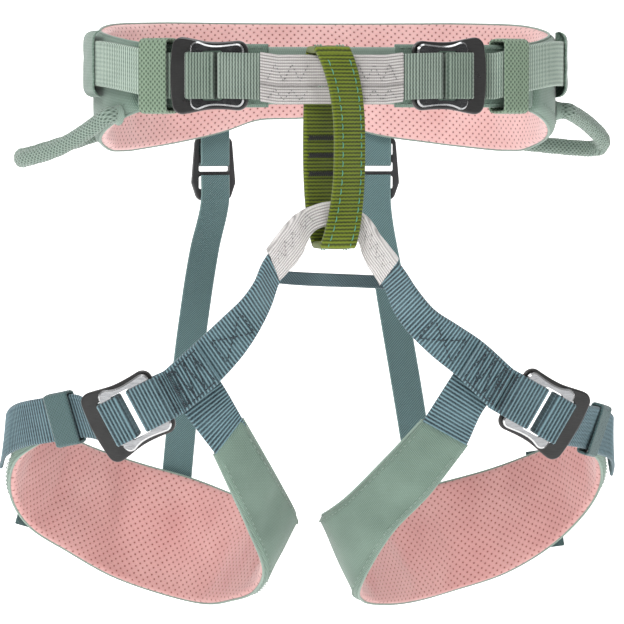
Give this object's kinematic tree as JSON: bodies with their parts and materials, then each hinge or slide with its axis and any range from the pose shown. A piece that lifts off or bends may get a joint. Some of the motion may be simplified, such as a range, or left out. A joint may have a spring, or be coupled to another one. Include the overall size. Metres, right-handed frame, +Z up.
{
  "type": "climbing harness",
  "caption": "Child's sit harness: padded waist band and leg loops, plate buckles, tie-in sleeves, belay loop, elastic risers and gear loops.",
  "frame": {"origin": "centre of the waist opening at the height of the waist webbing", "axes": "+Z up, +X to the wearer's left, front towards -Y"},
  "size_m": [0.2841, 0.1738, 0.2698],
  "materials": {
    "lining_fabric": "perforated soft mesh",
    "foam": "open-cell foam",
    "shell_fabric": "fine twill",
    "waist_webbing": "ribbed webbing",
    "waist_elastic": "basket-weave elastic",
    "black_anodised": "black anodised",
    "polished_steel": "polished",
    "sleeve_fabric": "ribbed sleeve",
    "belay_webbing": "ribbed webbing",
    "black_plastic": "moulded",
    "teal_elastic": "twill elastic",
    "gear_braid": "braided tube",
    "leg_webbing": "ribbed webbing"
  },
  "bodies": {
    "root": {"waist_lining": "lining_fabric", "waist_foam": "foam", "waist_shell": "shell_fabric", "front_flap": "shell_fabric", "tie_in_webbing": "waist_webbing", "tie_in_sleeve": "sleeve_fabric", "leg_bridge_sleeve": "sleeve_fabric", "leg_cross_strap": "leg_webbing", "gear_loop_cuffs": "shell_fabric", "left_wing": "shell_fabric", "left_strap_cover": "shell_fabric", "left_waist_strap": "waist_webbing", "left_waist_buckle_frame": "black_anodised", "left_riser_upper": "teal_elastic", "left_riser_lower": "teal_elastic", "right_wing": "shell_fabric", "right_strap_cover": "shell_fabric", "right_waist_strap": "waist_webbing", "right_waist_buckle_frame": "black_anodised", "right_riser_upper": "teal_elastic", "right_riser_lower": "teal_elastic"},
    "belay_loop": {"belay_loop": "belay_webbing", "belay_bar_tacks": "belay_webbing"},
    "left_waist_slider": {"left_waist_buckle_slider": "polished_steel"},
    "left_waist_keeper": {"left_waist_keeper": "waist_elastic"},
    "left_gear_loop": {"left_gear_loop": "gear_braid"},
    "left_adjuster": {"left_riser_adjuster": "black_plastic"},
    "left_leg": {"left_leg_webbing": "leg_webbing", "left_leg_patch": "leg_webbing", "left_leg_arm_webbing": "leg_webbing", "left_leg_lining": "lining_fabric", "left_leg_foam": "foam", "left_leg_shell": "shell_fabric", "left_leg_buckle_frame": "black_anodised", "left_leg_tie_webbing": "leg_webbing", "left_leg_strap": "leg_webbing", "left_leg_cross_tab": "teal_elastic"},
    "left_leg_slider": {"left_leg_buckle_slider": "polished_steel"},
    "left_leg_keeper": {"left_leg_keeper": "teal_elastic"},
    "right_waist_slider": {"right_waist_buckle_slider": "polished_steel"},
    "right_waist_keeper": {"right_waist_keeper": "waist_elastic"},
    "right_gear_loop": {"right_gear_loop": "gear_braid"},
    "right_adjuster": {"right_riser_adjuster": "black_plastic"},
    "right_leg": {"right_leg_webbing": "leg_webbing", "right_leg_patch": "leg_webbing", "right_leg_arm_webbing": "leg_webbing", "right_leg_lining": "lining_fabric", "right_leg_foam": "foam", "right_leg_shell": "shell_fabric", "right_leg_buckle_frame": "black_anodised", "right_leg_tie_webbing": "leg_webbing", "right_leg_strap": "leg_webbing", "right_leg_cross_tab": "teal_elastic"},
    "right_leg_slider": {"right_leg_buckle_slider": "polished_steel"},
    "right_leg_keeper": {"right_leg_keeper": "teal_elastic"}
  },
  "joints": [
    {"name": "belay_swivel", "type": "hinge", "parent": "root", "child": "belay_loop", "pos_m": [-0.006, -0.0836, -0.03], "axis": [0, 0, 1], "range_deg": [-4, 4]},
    {"name": "left_waist_slide", "type": "slide", "parent": "root", "child": "left_waist_slider", "axis": [-0.9677, -0.2523, 0], "range_m": [0, 0.002]},
    {"name": "left_waist_keeper_slide", "type": "slide", "parent": "root", "child": "left_waist_keeper", "axis": [-0.8342, -0.5515, 0], "range_m": [-0.003, 0.003]},
    {"name": "left_gear_hinge", "type": "hinge", "parent": "root", "child": "left_gear_loop", "pos_m": [0.11009, -0.00554, -0.015], "axis": [0.3153, -0.9191, 0.2362], "range_deg": [-25, 40], "stiffness_Nm_per_rad": 0.03},
    {"name": "left_adjuster_slide", "type": "slide", "parent": "root", "child": "left_adjuster", "axis": [0, 0, 1], "range_m": [0, 0.0018]},
    {"name": "left_leg_swing", "type": "hinge", "parent": "root", "child": "left_leg", "pos_m": [0.0205, -0.078, -0.087], "axis": [1, 0, 0], "range_deg": [-10, 12], "stiffness_Nm_per_rad": 2.5, "deforming": ["left_riser_lower"]},
    {"name": "left_leg_slide", "type": "slide", "parent": "left_leg", "child": "left_leg_slider", "axis": [-0.8618, -0.155, 0.4829], "range_m": [0, 0.0015]},
    {"name": "left_leg_keeper_slide", "type": "slide", "parent": "left_leg", "child": "left_leg_keeper", "axis": [0.4611, 0.8682, -0.1833], "range_m": [-0.002, 0.002]},
    {"name": "right_waist_slide", "type": "slide", "parent": "root", "child": "right_waist_slider", "axis": [0.9449, -0.3273, 0], "range_m": [0, 0.002]},
    {"name": "right_waist_keeper_slide", "type": "slide", "parent": "root", "child": "right_waist_keeper", "axis": [0.7862, -0.618, 0], "range_m": [-0.003, 0.003]},
    {"name": "right_gear_hinge", "type": "hinge", "parent": "root", "child": "right_gear_loop", "pos_m": [-0.10026, -0.03689, -0.017], "axis": [0.043, 0.9952, -0.0881], "range_deg": [-25, 40], "stiffness_Nm_per_rad": 0.03},
    {"name": "right_adjuster_slide", "type": "slide", "parent": "root", "child": "right_adjuster", "axis": [0, 0, 1], "range_m": [0, 0.0018]},
    {"name": "right_leg_swing", "type": "hinge", "parent": "root", "child": "right_leg", "pos_m": [-0.034, -0.078, -0.087], "axis": [1, 0, 0], "range_deg": [-10, 12], "stiffness_Nm_per_rad": 2.5, "deforming": ["right_riser_lower"]},
    {"name": "right_leg_slide", "type": "slide", "parent": "right_leg", "child": "right_leg_slider", "axis": [0.8602, -0.22, 0.4601], "range_m": [0, 0.0015]},
    {"name": "right_leg_keeper_slide", "type": "slide", "parent": "right_leg", "child": "right_leg_keeper", "axis": [-0.7572, 0.6431, -0.1141], "range_m": [-0.002, 0.002]}
  ]
}
